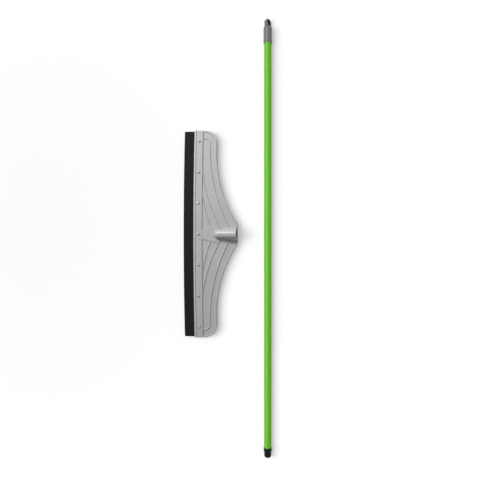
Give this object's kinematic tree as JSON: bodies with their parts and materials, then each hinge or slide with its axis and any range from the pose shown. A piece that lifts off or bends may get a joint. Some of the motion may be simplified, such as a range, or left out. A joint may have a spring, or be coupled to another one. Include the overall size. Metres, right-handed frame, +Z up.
{
  "type": "floor squeegee",
  "caption": "Floor squeegee with a wide moulded head, a double foam-rubber blade riveted in its jaw and a tilted threaded socket, and its coated steel screw-in pole lying unscrewed beside it.",
  "frame": {"origin": "middle of the whole part's footprint, on the floor", "axes": "+Z up, +Y along the pole from its screw to its hanging eye and along the blade, -X the way the blade's free edge faces"},
  "size_m": [0.2598, 1.29, 0.0492],
  "materials": {
    "head_moulding": "light grey injection-moulded polypropylene, satin",
    "blade_foam": "black closed-cell foam rubber, matt with fine pores",
    "rivets": "satin aluminium domes",
    "washers": "zinc plated",
    "tube_steel": "bare drawn steel, hidden by the coating",
    "pole_coating": "bright green plastic coating, semi-gloss",
    "insert_plastic": "black moulded plastic",
    "cap_plastic": "mid grey moulded plastic"
  },
  "bodies": {
    "head": {"body": "head_moulding", "clamp_bar": "head_moulding", "foam_upper": "blade_foam", "foam_lower": "blade_foam", "rivet_1": "rivets", "rivet_2": "rivets", "rivet_3": "rivets", "rivet_4": "rivets", "rivet_5": "rivets", "rivet_6": "rivets", "rivet_7": "rivets", "washer_1": "washers", "washer_2": "washers", "washer_3": "washers", "washer_4": "washers", "washer_5": "washers", "washer_6": "washers", "washer_7": "washers"},
    "pole": {"pole_tube": "tube_steel", "pole_coating": "pole_coating", "threaded_insert": "insert_plastic", "hanger_cap": "cap_plastic"}
  },
  "joints": [
    {"name": "pole_lift", "type": "slide", "parent": "head", "child": "pole", "axis": [0, 0, 1], "range_m": [0, 0.15]}
  ]
}
